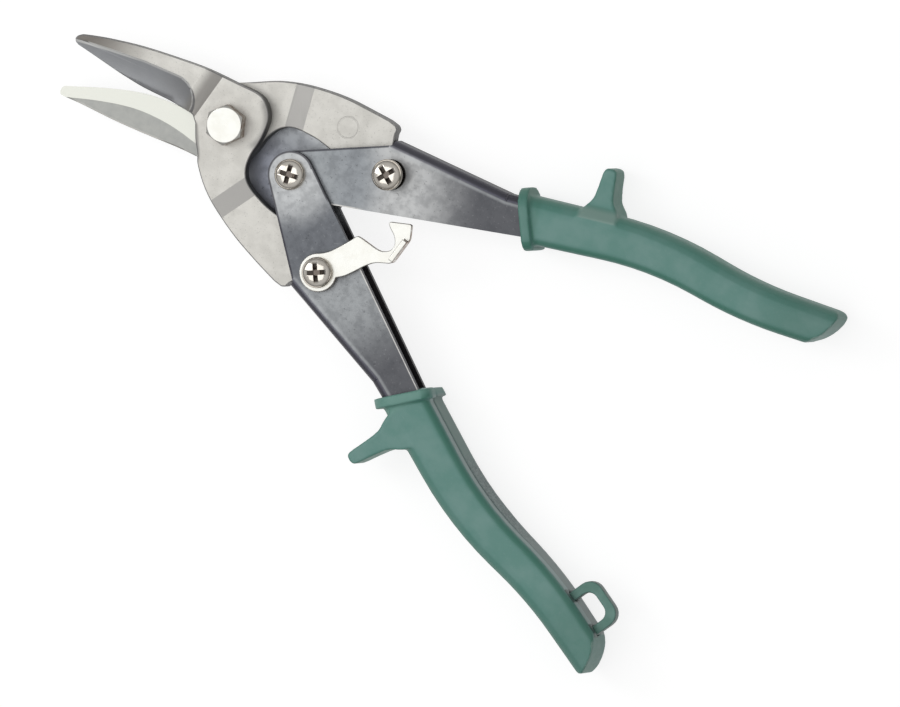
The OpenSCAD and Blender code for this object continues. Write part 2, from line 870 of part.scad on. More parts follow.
module return_spring() {
    color([0.30, 0.30, 0.32])
        at(handle_pivot)
            tube(wire_path, wire_d, 8);
}

front_jaw();
rear_jaw();
pivot_bolt();
pivot_washer();
pivot_nut();
lower_channel();
lower_grip();
hang_loop();
upper_channel();
upper_grip();
handle_pivot_screw();
handle_pivot_sleeve();
handle_pivot_nut();
return_spring();
upper_link_screw();
upper_link_washers();
upper_link_nut();
lower_link_screw();
lower_link_washers();
lower_link_nut();
latch();
latch_washer();
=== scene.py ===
# %% [markdown]
# # Aviation snips on a studio table
# The solids of these compound-action snips come ready made: two blades, two folded handles, a latch and
# the fasteners between them. This lesson dresses them for a product picture. Each metal gets its own
# finish, the moulded grips are made again with soft plastic edges, the spring is drawn so that it can
# follow both handles, and a camera and lamps are set up.

# %% Load the snips
import math

import bmesh
import bpy
import numpy as np
from mathutils import Matrix, Vector


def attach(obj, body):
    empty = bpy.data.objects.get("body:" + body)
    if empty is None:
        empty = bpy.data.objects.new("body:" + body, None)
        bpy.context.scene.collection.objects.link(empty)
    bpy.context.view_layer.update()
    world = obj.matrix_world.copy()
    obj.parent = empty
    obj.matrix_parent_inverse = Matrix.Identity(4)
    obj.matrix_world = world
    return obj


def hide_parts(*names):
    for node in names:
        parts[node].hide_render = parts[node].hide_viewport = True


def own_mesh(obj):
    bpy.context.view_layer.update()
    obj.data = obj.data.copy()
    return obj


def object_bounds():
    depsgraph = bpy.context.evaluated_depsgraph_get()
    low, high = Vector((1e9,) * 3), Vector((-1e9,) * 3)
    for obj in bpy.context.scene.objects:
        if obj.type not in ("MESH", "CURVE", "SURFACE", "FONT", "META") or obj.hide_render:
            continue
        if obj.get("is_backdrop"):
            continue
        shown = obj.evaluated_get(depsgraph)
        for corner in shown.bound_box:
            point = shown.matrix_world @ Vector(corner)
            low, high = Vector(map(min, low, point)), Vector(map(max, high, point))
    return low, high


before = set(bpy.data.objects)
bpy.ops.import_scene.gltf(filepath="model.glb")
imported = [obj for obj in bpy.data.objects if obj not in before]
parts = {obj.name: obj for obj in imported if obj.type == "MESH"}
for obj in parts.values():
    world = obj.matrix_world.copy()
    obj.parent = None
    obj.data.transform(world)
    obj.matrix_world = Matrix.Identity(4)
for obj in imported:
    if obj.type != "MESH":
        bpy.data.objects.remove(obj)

cad_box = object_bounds()
mm = 0.001
print(f"{len(parts)} solids, {[round(v / mm, 1) for v in cad_box[1] - cad_box[0]]} mm over all")

# %% [markdown]
# ## Small tools for the finishes
# Every finish below is a tree of shader nodes. Making nodes one by one takes many lines, so a value that
# runs from node to node is wrapped as a Flow: a sum written with flows is laid out as Math nodes. A few
# short helpers then do the moves used most often. A mask is a flow from 0 to 1 that says where a tone goes,
# and masks are multiplied to narrow them down; times a number below 1, a mask lets the tone beneath show
# through. Places are in millimetres, which keeps the numbers plain.

# %% Flows and sums of flows
class Flow:
    """A value on its way from one node to the next."""

    def __init__(self, socket):
        self.socket = socket
        self.tree = socket.id_data

    def __add__(self, other):
        return maths("ADD", self, other)

    def __sub__(self, other):
        return maths("SUBTRACT", self, other)

    def __rsub__(self, other):
        return maths("SUBTRACT", other, self)

    def __mul__(self, other):
        return maths("MULTIPLY", self, other)

    def __gt__(self, other):
        return maths("GREATER_THAN", self, other)

    def __lt__(self, other):
        return maths("LESS_THAN", self, other)

    def __abs__(self):
        return maths("ABSOLUTE", self)


def add(tree, kind, sockets=None, **settings):
    made = tree.nodes.new(kind)
    for key, value in settings.items():
        setattr(made, key, value)
    for key, value in (sockets or {}).items():
        if isinstance(value, Flow):
            tree.links.new(value.socket, made.inputs[key])
        else:
            made.inputs[key].default_value = value
    return made


def maths(operation, *values):
    tree = next(value.tree for value in values if isinstance(value, Flow))
    return Flow(add(tree, "ShaderNodeMath", dict(enumerate(values)), operation=operation).outputs[0])


def most(first, *others):
    for other in others:
        first = maths("MAXIMUM", first, other)
    return first


def least(first, second):
    return maths("MINIMUM", first, second)


print("flows ready")


# %% Masks: soft steps between two values
def climb(value, low, high):
    sockets = {"Value": value, "From Min": low, "From Max": high}
    return Flow(add(value.tree, "ShaderNodeMapRange", sockets, interpolation_type="SMOOTHSTEP").outputs[0])


def fall(value, low, high):
    sockets = {"Value": value, "From Min": low, "From Max": high, "To Min": 1.0, "To Max": 0.0}
    return Flow(add(value.tree, "ShaderNodeMapRange", sockets, interpolation_type="SMOOTHSTEP").outputs[0])


def spread(value, low, high):
    sockets = {"Value": value, "To Min": low, "To Max": high}
    return Flow(add(value.tree, "ShaderNodeMapRange", sockets).outputs[0])


print("a mask climbs or falls between two values, and spread stretches it to a range")


# %% Places, slopes and noise
def place_in_mm(tree):
    spot = Flow(add(tree, "ShaderNodeTexCoord").outputs["Object"])
    return Flow(add(tree, "ShaderNodeVectorMath", {0: spot, "Scale": 1 / mm}, operation="SCALE").outputs[0])


def split(vector):
    return [Flow(output) for output in add(vector.tree, "ShaderNodeSeparateXYZ", {0: vector}).outputs]


def distance(place, point):
    measure = add(place.tree, "ShaderNodeVectorMath", {0: place, 1: point}, operation="DISTANCE")
    return Flow(measure.outputs["Value"])


def gap_to(line, ahead, aside):
    lean_ahead, lean_aside, offset = line
    return ahead * lean_ahead + aside * lean_aside + offset


def steepness(tree):
    facet = Flow(add(tree, "ShaderNodeNewGeometry").outputs["True Normal"])
    return abs(split(facet)[2])


def cloud(place, size, detail=3.0, rough=0.55):
    sockets = {"Vector": place, "Scale": 1 / size, "Detail": detail, "Roughness": rough}
    return Flow(add(place.tree, "ShaderNodeTexNoise", sockets).outputs[0])


print("places are measured in mm; steepness is 1 on a level face and 0 on an upright one")


# %% Tones and the shader's own sockets
def start_finish(name):
    finish = bpy.data.materials.new(name)
    finish.use_nodes = True
    return finish, finish.node_tree, finish.node_tree.nodes["Principled BSDF"]


def paint(red, green, blue):
    def straight(v):
        v = v / 255
        return v / 12.92 if v <= 0.04045 else ((v + 0.055) / 1.055) ** 2.4
    return (straight(red), straight(green), straight(blue), 1.0)


def tint(amount, plain, marked):
    mixed = add(amount.tree, "ShaderNodeMix", {0: amount, 6: plain, 7: marked}, data_type="RGBA")
    return Flow(mixed.outputs[2])


def connect(flow, socket):
    flow.tree.links.new(flow.socket, socket)


def give_bump(skin, height, lift, strength):
    sockets = {"Height": height, "Strength": strength, "Distance": lift * mm}
    connect(Flow(add(height.tree, "ShaderNodeBump", sockets).outputs[0]), skin.inputs["Normal"])


print("a middle grey of 128 is", round(paint(128, 128, 128)[0], 3), "in the shader")

# %% [markdown]
# ## Jaw steel
# The jaws are drop forged, blasted to a pale satin, and then ground: the hollow behind each cutting edge,
# the ramps beside the pivot and the flat faces that slide on each other. Grinding leaves a tighter surface
# than blasting. The hollow and the ramps are painted darker greys as painted reflection, for the dark room
# that ground steel mirrors, and the hollow gets painted shade towards its root. The zones could be painted
# on each jaw, but a face's slope and its distance from the plane where the jaws slide already tell which
# tool touched it. So one finish serves both jaws, and its zones follow the shape.

# %% Blasted forging
shear_plane = 10.0
blast_grey, blast_pale, blast_speck = paint(206, 204, 198), paint(218, 216, 210), paint(174, 172, 167)
tip_shade = paint(122, 118, 113)

jaw_steel, tree, skin = start_finish("jaw_steel")
place = place_in_mm(tree)
x, y, z = split(place)
slope = steepness(tree)
shear_gap = abs(z - shear_plane)
on_blade = fall(x, -7.0, -6.0)

blast = tint(climb(cloud(place, 6.0), 0.35, 0.65), blast_grey, blast_pale)
blast = tint(climb(cloud(place, 0.5), 0.58, 0.8), blast, blast_speck)
toward_tip = fall(x, -52.0, -26.0) * climb(z, 11.4, 11.6)
blast = tint(toward_tip, blast, tip_shade)
print("blasted steel laid with", len(tree.nodes), "nodes")

# %% Ground hollow and ramps
spine_height, spine_bend, spine_drop = 3.55, 33.2, 0.0587
grind_grey, grind_pale, grind_root_shade = paint(155, 157, 161), paint(166, 168, 170), paint(140, 141, 143)
blade_ramp_reflection_tone, tang_ramp_reflection_tone = paint(142, 139, 134), paint(184, 182, 178)

spine_top = least(spine_height, (x + spine_bend) * spine_drop + spine_height)
below_spine = spine_top - shear_gap
on_hollow = fall(x, -13.0, -12.0) * climb(shear_gap, 0.6, 0.8)
hollow = climb(below_spine, 0.08, 0.16) * on_hollow
up_facing = climb(slope, 0.35, 0.6)
sloping = fall(slope, 0.9955, 0.9985)
blade_ramp = sloping * fall(x, -8.0, -7.0) * climb(x, -17.0, -12.5)
tang_ramp = sloping * climb(x, -8.0, -7.0)

# painted reflection: the hollow and the ramps get darker greys than the blast, for the dark room that ground
# steel mirrors
grind_and_reflection_tone = tint(cloud(place, 3.0), grind_grey, grind_pale)
# painted shade: the hollow darkens towards its root
grind_and_reflection_tone = tint(climb(x, -30.0, -16.0), grind_and_reflection_tone, grind_root_shade)
steel = tint(hollow * up_facing, blast, grind_and_reflection_tone)
steel = tint(blade_ramp * up_facing, steel, blade_ramp_reflection_tone)
steel = tint(tang_ramp * up_facing, steel, tang_ramp_reflection_tone)
ground = most(hollow, blade_ramp, tang_ramp) * up_facing
print("hollow and ramps ground,", len(tree.nodes), "nodes so far")

# %% Painted shade on the edge wall, painted highlight at the brink, land and relief
edge_wall_shade_tone, brink_highlight_tone, land_tone = paint(84, 84, 88), paint(222, 222, 219), paint(214, 215, 207)
relief_grey, relief_pale = paint(162, 163, 161), paint(186, 187, 182)

# painted shade: the thin upright wall of the front blade along its cutting edge is painted dark
edge_wall_shade = fall(shear_gap, 0.93, 1.03) * on_hollow * climb(x, -46.0, -36.0)
steel = tint(edge_wall_shade * 0.7, steel, edge_wall_shade_tone)
# painted highlight: a pale line along the upper edge of the hollow
brink_highlight = climb(below_spine, 0.02, 0.06) * fall(below_spine, 0.4, 0.5) * on_hollow * climb(slope, 0.78, 0.85)
steel = tint(brink_highlight * 0.75, steel, brink_highlight_tone)
flat = climb(slope, 0.99, 0.997)
land = fall(shear_gap, 0.12, 0.18) * on_blade * flat
steel = tint(land, steel, land_tone)
relief = climb(shear_gap, 0.2, 0.3) * fall(shear_gap, 0.5, 0.7) * fall(x, -3.0, -2.0) * flat
steel = tint(relief, steel, tint(cloud(place, 2.5), relief_grey, relief_pale))
print("cutting faces finished,", len(tree.nodes), "nodes so far")

# %% [markdown]
# The forging gets painted shade on its rounded corners, on its upright sides, and in two places of the
# front jaw, the rolled edge of the round boss and the cheek beside the blade. The cutting side of the rear
# blade is the opposite, a ground face painted nearly white as a painted highlight. The cheek and the
# middle of the blade are straight lines seen from above, so their distance is a sum of x and y.

# %% Painted shade on corners and sides, painted highlight on the cutting side
corner_shade_tone, jaw_edge_shade_tone, side_shade_tone = paint(112, 112, 114), paint(100, 99, 98), paint(104, 103, 102)
cutting_side_highlight_tone = paint(232, 233, 226)
boss_centre = (0.6, 3.0, 14.45)
cheek_line = (0.759, 0.651, 10.31)
blade_middle = (-0.27, 1.0, 10.2)

# painted shade: the rounded corners of the forging are painted darker
corner = climb(slope, 0.3, 0.5) * fall(slope, 0.9, 0.96)
off_land = most(climb(shear_gap, 0.5, 0.8), climb(x, -4.0, -2.0))
corner_shade = corner * (1.0 - hollow) * off_land
steel = tint(corner_shade * 0.75, steel, corner_shade_tone)

# painted shade: the rolled edge of the front boss and the cheek beside the blade are painted darker
from_boss = distance(place, boss_centre)
rolled = climb(from_boss, 8.2, 10.4) * climb(x, 3.0, 6.0) * climb(z, 13.6, 14.0) * climb(y, -3.0, 1.0)
from_cheek = gap_to(cheek_line, x, y)
near_cheek = climb(x, -11.0, -9.5) * fall(x, -2.0, 0.0) * fall(y, -5.8, -4.8)
cheek = fall(from_cheek, 0.3, 1.2) * near_cheek * climb(z, 10.5, 11.0)
steel = tint(most(rolled, cheek) * 0.6, steel, jaw_edge_shade_tone)
# painted shade: the upright sides are painted darker
steel = tint(fall(slope, 0.25, 0.5) * off_land, steel, side_shade_tone)

above_middle = gap_to(blade_middle, x, y)
# painted highlight: the upright cutting side of the rear blade is painted nearly white
cutting_side_highlight = fall(z, 9.96, 10.04) * climb(above_middle, -0.2, 0.2) * on_blade * fall(slope, 0.9, 0.97)
steel = tint(cutting_side_highlight, steel, cutting_side_highlight_tone)
ground = most(ground, cutting_side_highlight)
print("corners and sides shaded,", len(tree.nodes), "nodes so far")

# %% Gloss, grit and the plain ring on the rear jaw
satin, polished = 0.52, 0.36
bright_metal, dull_metal = 0.8, 0.15
ring_centre = (30.65, 21.7, 11.8)
ring_groove = 3.0

connect(steel, skin.inputs["Base Color"])
connect(spread(most(ground, land), satin, polished), skin.inputs["Roughness"])
connect(spread(ground, bright_metal, dull_metal), skin.inputs["Metallic"])
from_ring = distance(place, ring_centre)
ring = climb(from_ring, 3.0, 3.25) * fall(from_ring, 3.35, 3.6)
grit = cloud(place, 0.35, detail=2.0) - ring * ring_groove
give_bump(skin, grit, lift=0.05, strength=0.5)
print("jaw steel has", len(tree.nodes), "nodes")

# %% [markdown]
# ## Handle plate
# Each handle is one strip of steel folded into a channel and left with its grey mill scale. The scale is
# mottled and pitted. Its tone is painted pale near the jaws and darker towards the grips, a painted
# reflection and shade, and the front and the rear plate get lit and shaded copies of these tones. Two
# sizes of noise make the mottling, a sparse one makes the pits, and the distance from the handle pivot
# carries the change of tone along the strip. The lower handle's plate lies in front of the upper one's,
# so its height tells the two apart. The heel of the back plate beside the front jaw gets a painted shadow.

# %% Tones along the strip
handle_pivot = Vector((25.41, 0.0, 10.0))
rear_link_lead = 7.0
near_rear, near_front = paint(148, 152, 155), paint(182, 184, 185)
middle_rear, middle_front = paint(141, 145, 149), paint(104, 107, 112)
link_rear, link_front = paint(182, 183, 183), paint(150, 153, 155)
grip_end = paint(87, 88, 92)
heel_low, heel_middle, heel_high = paint(138, 141, 151), paint(150, 153, 157), paint(192, 195, 197)

grey_steel, tree, skin = start_finish("grey_steel")
place = place_in_mm(tree)
x, y, z = split(place)
slope = steepness(tree)
reach = distance(place, tuple(handle_pivot))
front_plate = climb(z, 15.2, 15.6)

# painted reflection and shade: pale near the jaws, darker towards the grips, in lit and shaded copies for the
# front and rear plate
near_tone = tint(front_plate, near_rear, near_front)
middle_tone = tint(front_plate, middle_rear, middle_front)
link_tone = tint(front_plate, link_rear, link_front)
scale = tint(climb(reach, 10.0, 20.0), near_tone, middle_tone)
link_reach = reach + spread(front_plate, rear_link_lead, 0.0)
scale = tint(climb(link_reach, 29.0, 40.0), scale, link_tone)
scale = tint(climb(link_reach, 44.0, 68.0), scale, grip_end)
# painted shadow: the heel of the back plate is darkest beside the front jaw that shades it
heel = fall(z, 5.6, 5.8) * fall(reach, 17.5, 19.0)
heel_shadow_tone = tint(climb(y, -4.0, 9.0), heel_low, heel_middle)
heel_shadow_tone = tint(climb(y, 9.0, 13.5), heel_shadow_tone, heel_high)
scale = tint(heel, scale, heel_shadow_tone)
print("strip toned with", len(tree.nodes), "nodes")

# %% Mottling and pits
blotch_tone, fleck_tone, pit_tone = paint(98, 101, 107), paint(180, 183, 185), paint(68, 68, 72)

blotch = climb(cloud(place, 4.0, detail=5.0, rough=0.7), 0.38, 0.66)
scale = tint(blotch * 0.18, scale, blotch_tone)
fleck = climb(cloud(place, 0.9, detail=2.0), 0.6, 0.75)
scale = tint(fleck * 0.14, scale, fleck_tone)
pits = climb(cloud(place, 0.7, detail=1.0), 0.68, 0.76)
scale = tint(pits * 0.4, scale, pit_tone)
print("scale mottled,", len(tree.nodes), "nodes so far")

# %% [markdown]
# The strip was sheared to its outline and then folded. The fold gets a band of painted shade with a
# painted highlight beside it. The sheared edges are painted dark as shade, a thin outline round each
# plate's face is a painted shadow, and the inner edges get a painted highlight. Each of these follows a
# straight line of the flat strip, so a sum of two distances from the handle pivot, one ahead and one
# outward, gives the gap to it. Past its end a line gets a large number added, which takes it out of reach.

# %% Folds and sheared edges, with painted shade and highlight
web_line = (0.2104, -0.9776, 22.77)
neck_line = (0.3714, -0.9285, 11.6)
fold_shade_tone, fold_highlight_tone, edge_shade_tone = paint(92, 91, 104), paint(172, 175, 177), paint(66, 65, 74)

ahead = x - handle_pivot.x
outward = abs(y)
from_fold = most(gap_to(web_line, ahead, outward), gap_to(neck_line, ahead, outward))
past_link = climb(reach, 31.0, 33.0)
# painted shade along the fold, with a painted highlight beside it
fold_shade = fall(from_fold, 1.9, 2.5) * past_link
scale = tint(fold_shade * 0.75, scale, fold_shade_tone)
fold_highlight = climb(from_fold, 2.2, 2.6) * fall(from_fold, 2.8, 3.6) * past_link
scale = tint(fold_highlight * 0.4, scale, fold_highlight_tone)
# painted shade: sheared edges and other sloping faces are painted dark
shaded_edges = fall(slope, 0.9, 0.975)
scale = tint(shaded_edges * 0.85, scale, edge_shade_tone)
print("folds and sheared edges drawn,", len(tree.nodes), "nodes so far")

# %% Painted shadow round the outline, painted highlight on the inner edges
eye_radius = 7.2
outer_line = (0.638, -0.77, eye_radius)
inner_line = (-0.4579, 0.889, eye_radius)
eye_line = (0.77, 0.638, 0.0)
plate_run = (0.9285, 0.3714, 0.0)
out_of_reach = 200.0
outline_shadow_tone, edge_highlight_tone = paint(58, 57, 64), paint(208, 206, 202)

toward = y * spread(front_plate, 1.0, -1.0)
run = gap_to(plate_run, ahead, toward)
from_outer = gap_to(outer_line, ahead, toward) + climb(run, 27.5, 28.5) * out_of_reach
from_inner = gap_to(inner_line, ahead, toward)
past_eye = climb(gap_to(eye_line, ahead, toward), 0.0, 0.4)
from_eye = past_eye * out_of_reach + (eye_radius - maths("SQRT", ahead * ahead + y * y))
front_side = climb(z, 12.0, 12.3)

# painted shadow: a thin dark outline round each plate's face
outer_outline_shadow = fall(least(from_eye, from_outer), 0.4, 0.75)
inner_outline_shadow = fall(from_inner, 0.3, 0.6) * fall(run, 12.0, 14.0)
scale = tint(most(outer_outline_shadow, inner_outline_shadow) * front_side * 0.85, scale, outline_shadow_tone)
# painted highlight: pale lines along the inner edges
rear_edge_highlight = climb(run, 12.0, 14.0) * fall(run, 20.0, 26.0) * fall(front_plate, 0.4, 0.6)
front_edge_highlight = climb(run, 28.0, 32.0) * front_plate
edge_highlight = most(rear_edge_highlight, front_edge_highlight) * front_side * fall(from_inner, 0.3, 0.55) * climb(slope, 0.3, 0.5)
scale = tint(edge_highlight * 0.8, scale, edge_highlight_tone)
print("outline drawn,", len(tree.nodes), "nodes so far")

# %% Dark inside of the channel, gloss and pitting
back_edge_shade_tone, inside_oxide_and_shade_tone = paint(30, 30, 32), paint(60, 58, 61)
smooth_scale, rough_scale = 0.36, 0.5

# painted shade: the back plates' edges are painted near black; the inside of the channel is partly dark oxide
# and partly painted shade
scale = tint(shaded_edges * fall(z, 7.7, 8.2), scale, back_edge_shade_tone)
face = Flow(add(tree, "ShaderNodeTexCoord").outputs["Normal"])
inside_oxide_and_shade = fall(z, 7.6, 8.2) * climb(reach, 17.0, 24.0) * climb(split(face)[2], 0.4, 0.7)
scale = tint(inside_oxide_and_shade, scale, inside_oxide_and_shade_tone)
connect(scale, skin.inputs["Base Color"])
connect(spread(most(blotch, shaded_edges), smooth_scale, rough_scale), skin.inputs["Roughness"])
connect(spread(shaded_edges, bright_metal, dull_metal), skin.inputs["Metallic"])
give_bump(skin, cloud(place, 0.8) - pits, lift=0.04, strength=0.4)
print("handle plate has", len(tree.nodes), "nodes")

# %% [markdown]
# ## Bright zinc, nickel and the small metals
# The latch and the pivot bolt are zinc plated and nearly white; the plating thins at the edges, where a
# brown line shows. The screws are nickel plated, smooth enough to mirror the room, and so are their nuts;
# the pivot bolt's nut is zinc plated. Washers, the sleeve and the spring are plain steel, apart from one
# brass washer. These metals differ only in their tones and gloss, so one function makes them all.

# %% Plated finishes
def plated(name, pale, shade, edge, gloss, brush):
    finish, tree, skin = start_finish(name)
    place = place_in_mm(tree)
    tone = tint(climb(cloud(place, 4.0), 0.35, 0.7), paint(*pale), paint(*shade))
    worn = fall(steepness(tree), 0.55, 0.93) * climb(cloud(place, 1.5), 0.2, 0.6)
    connect(tint(worn, tone, paint(*edge)), skin.inputs["Base Color"])
    connect(spread(cloud(place, 1.2), *gloss), skin.inputs["Roughness"])
    skin.inputs["Metallic"].default_value = 0.9
    give_bump(skin, cloud(place, brush, detail=2.0), lift=0.02, strength=0.3)
    return finish


zinc = plated("bright_zinc", (227, 227, 222), (221, 220, 213), (132, 108, 90), (0.24, 0.36), 0.5)
nickel = plated("nickel", (236, 231, 222), (226, 219, 208), (206, 196, 182), (0.1, 0.18), 0.8)
washer_steel = plated("washer_steel", (176, 176, 174), (150, 150, 150), (110, 106, 102), (0.3, 0.45), 0.4)
brass = plated("washer_brass", (196, 164, 104), (176, 142, 84), (122, 94, 56), (0.25, 0.4), 0.4)
spring_steel = plated("spring_steel", (96, 97, 100), (70, 71, 74), (60, 60, 62), (0.25, 0.4), 0.3)
print("plated finishes:", [m.name for m in (zinc, nickel, washer_steel, brass, spring_steel)])

# %% [markdown]
# The cross in a screw's head holds grease and shade, and the neck of the upper link screw, where the latch
# hooks on, lies in the shadow of its raised head. Darker nickel there is painted shade, with some grease in
# the cross. A head is a low dome, so whatever lies below the dome and close to the screw's axis is the
# recess.

# %% Dark recesses and neck of the screws
upper_link_axis = (50.68, 18.63, 0.0)
screw_tops = (((25.41, 0.0, 0.0), 19.45), (upper_link_axis, 21.85), ((50.68, -18.63, 0.0), 21.75))
dome_bow, dome_power, dome_under_top = -0.02, 2.5, 0.2
neck_shade_tone, recess_shade_tone = paint(40, 37, 36), paint(58, 42, 34)

tree = nickel.node_tree
base_colour = tree.nodes["Principled BSDF"].inputs["Base Color"]
x, y, z = split(place_in_mm(tree))
flat_place = Flow(add(tree, "ShaderNodeCombineXYZ", {"X": x, "Y": y}).outputs[0])
recesses = []
for axis, top in screw_tops:
    off = distance(flat_place, axis)
    dome = maths("POWER", off, dome_power) * dome_bow + (top - dome_under_top)
    recesses.append(fall(off, 2.7, 3.0) * fall(z - dome, -0.25, -0.1))
# painted shade: the neck under the raised head and the screw recesses are painted dark
neck = fall(distance(flat_place, upper_link_axis), 6.0, 6.5) * climb(z, 13.0, 14.0) * fall(z, 18.6, 18.8)
screw_tone = tint(neck * 0.9, Flow(base_colour.links[0].from_socket), neck_shade_tone)
connect(tint(most(*recesses) * 0.85, screw_tone, recess_shade_tone), base_colour)
print("recesses darkened on", len(recesses), "screws")

# %% [markdown]
# ## Edges that catch the light
# A knife-sharp edge never glints, and no stamped or forged edge is knife sharp. The solids arrive with
# their vertices split along hard edges, so a modifier first welds them and dissolves the flat triangles,
# and only then a bevel can run round every corner. Modifiers leave the solid itself as it is. The jaws
# are the exception: a cutting edge and the step behind its land must stay keen, or the rounding would
# reach across the shearing plane, so a small node group marks which of their edges may be broken.

# %% Choose the edges of a jaw that may be broken
corner_angle = math.radians(28.0)
edge_gap, step_gap, blade_root = 0.2 * mm, 0.6 * mm, -2.5 * mm

jaw_edges = bpy.data.node_groups.new("edges_to_break", "GeometryNodeTree")
for way in ("INPUT", "OUTPUT"):
    jaw_edges.interface.new_socket("Geometry", in_out=way, socket_type="NodeSocketGeometry")
x, _, z = split(Flow(add(jaw_edges, "GeometryNodeInputPosition").outputs[0]))
shear_gap = abs(z - shear_plane * mm)
turn = add(jaw_edges, "GeometryNodeInputMeshEdgeAngle").outputs
corner = Flow(turn["Unsigned Angle"]) > corner_angle
step_foot = (Flow(turn["Signed Angle"]) < 0.0) * (shear_gap < step_gap)
keen = most(shear_gap < edge_gap, step_foot) * (x < blade_root)
marks = {
    "Geometry": Flow(add(jaw_edges, "NodeGroupInput").outputs[0]),
    "Name": "bevel_weight_edge",
    "Value": corner * (1.0 - keen),
}
marked = add(jaw_edges, "GeometryNodeStoreNamedAttribute", marks, data_type="FLOAT", domain="EDGE")
connect(Flow(marked.outputs[0]), add(jaw_edges, "NodeGroupOutput").inputs[0])
print("jaw edges chosen with", len(jaw_edges.nodes), "nodes")

# %% Break the edges of every solid that stays
weld_gap = 0.004 * mm
flat_angle = math.radians(0.6)


def break_edges(solid, width, chosen=None):
    weld = solid.modifiers.new("join_corners", "WELD")
    weld.merge_threshold = weld_gap
    flats = solid.modifiers.new("whole_flats", "DECIMATE")
    flats.decimate_type = "DISSOLVE"
    flats.angle_limit = flat_angle
    if chosen:
        solid.modifiers.new("choose_edges", "NODES").node_group = chosen
    round_off = solid.modifiers.new("broken_edge", "BEVEL")
    round_off.width = width * mm
    round_off.segments = 2
    round_off.limit_method = "WEIGHT" if chosen else "ANGLE"
    round_off.angle_limit = corner_angle
    round_off.use_clamp_overlap = chosen is None
    even = solid.modifiers.new("flat_faces", "WEIGHTED_NORMAL")
    even.mode = "FACE_AREA_WITH_ANGLE"
    even.weight = 80


def dress(solid, finish, width, chosen=None):
    solid.data.materials.clear()
    solid.data.materials.append(finish)
    solid.data.shade_smooth()
    break_edges(solid, width, chosen)


print("edges are broken where the faces turn by more than", round(math.degrees(corner_angle)), "degrees")

# %% Dress the metal solids
finishes = {
    "front_jaw": (jaw_steel, 0.4),
    "rear_jaw": (jaw_steel, 0.4),
    "lower_channel": (grey_steel, 0.4),
    "upper_channel": (grey_steel, 0.4),
    "latch": (zinc, 0.3),
    "pivot_bolt": (zinc, 0.3),
    "pivot_nut": (zinc, 0.2),
    "handle_pivot_screw": (nickel, 0.12),
    "upper_link_screw": (nickel, 0.12),
    "lower_link_screw": (nickel, 0.12),
    "handle_pivot_nut": (nickel, 0.15),
    "upper_link_nut": (nickel, 0.15),
    "lower_link_nut": (nickel, 0.15),
    "handle_pivot_sleeve": (washer_steel, 0.1),
    "pivot_washer": (washer_steel, 0.08),
    "upper_link_washers": (washer_steel, 0.08),
    "lower_link_washers": (washer_steel, 0.08),
    "latch_washer": (brass, 0.05),
}
for name, (finish, width) in finishes.items():
    dress(parts[name], finish, width, jaw_edges if finish is jaw_steel else None)
print("edges broken on", len(finishes), "solids")

# %% [markdown]
# ## Return spring
# The spring is wound round the sleeve of the handle pivot, and its legs lean on the tangs of the jaws. As
# the handles close, the tangs press the legs in and the coil winds up. One solid cannot wind, so the wire
# is drawn again in two halves that meet in the coil. Each rides on its own handle and is pressed in as the
# handles close, and the upper half has a thinner tail that slides out of the lower one.

# %% Path of the spring wire
wire_thick = 1.1
tail_thick = 0.85 * wire_thick
coil_radius = 5.5
coil_rise = 3.7
leg_reach = 17.2
leg_angle = math.radians(41.0)
leave_angle = leg_angle + math.acos(coil_radius / leg_reach)
coil_sweep = 6 * math.pi - 2 * leave_angle
coil_steps = 100
middle_step = coil_steps // 2
tail_steps = 4


def on_coil(step):
    angle = leave_angle + coil_sweep * step / coil_steps
    rise = coil_rise * (step / coil_steps - 0.5)
    return Vector((coil_radius * math.cos(angle), coil_radius * math.sin(angle), rise))


def leg_tip(side):
    ahead, aside = leg_reach * math.cos(leg_angle), leg_reach * math.sin(leg_angle)
    return Vector((ahead, side * aside, -side * coil_rise / 2))


upper_wire = [(leg_tip(1), wire_thick)] + [(on_coil(k), wire_thick) for k in range(middle_step + 1)]
upper_wire += [(on_coil(middle_step + k), tail_thick) for k in range(1, tail_steps + 1)]
lower_wire = [(on_coil(k), wire_thick) for k in range(middle_step, coil_steps + 1)]
lower_wire += [(leg_tip(-1), wire_thick)]
tail_sweep = coil_sweep * tail_steps / coil_steps
print(f"the coil turns {math.degrees(coil_sweep):.0f} degrees, the tail {math.degrees(tail_sweep):.0f}")


# %% Draw the two halves of the spring
def draw_wire(name, wire, sides=12):
    net = bmesh.new()
    turns = [2 * math.pi * n / sides for n in range(sides)]
    rings = []
    for k, (spot, thick) in enumerate(wire):
        run = wire[min(k + 1, len(wire) - 1)][0] - wire[max(k - 1, 0)][0]
        level = run.cross(Vector((0.0, 0.0, 1.0))).normalized()
        up = level.cross(run).normalized()
        rings.append([
            net.verts.new((handle_pivot + spot + (level * math.cos(a) + up * math.sin(a)) * thick / 2) * mm)
            for a in turns
        ])
    for ring, following in zip(rings, rings[1:]):
        for n in range(sides):
            net.faces.new((ring[n - 1], ring[n], following[n], following[n - 1]))
    net.faces.new(rings[0])
    net.faces.new(rings[-1])
    bmesh.ops.recalc_face_normals(net, faces=net.faces)
    mesh = bpy.data.meshes.new(name)
    net.to_mesh(mesh)
    net.free()
    mesh.shade_smooth()
    mesh.materials.append(spring_steel)
    piece = bpy.data.objects.new(name, mesh)
    bpy.context.scene.collection.objects.link(piece)
    return piece


halves = (
    ("return_spring_upper", upper_wire, "upper_handle"),
    ("return_spring_lower", lower_wire, "lower_handle"),
)
for name, wire, body in halves:
    half = draw_wire(name, wire)
    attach(half, body)
    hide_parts("return_spring")
    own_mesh(half)
    print(name, "drawn with", len(half.data.polygons), "faces")

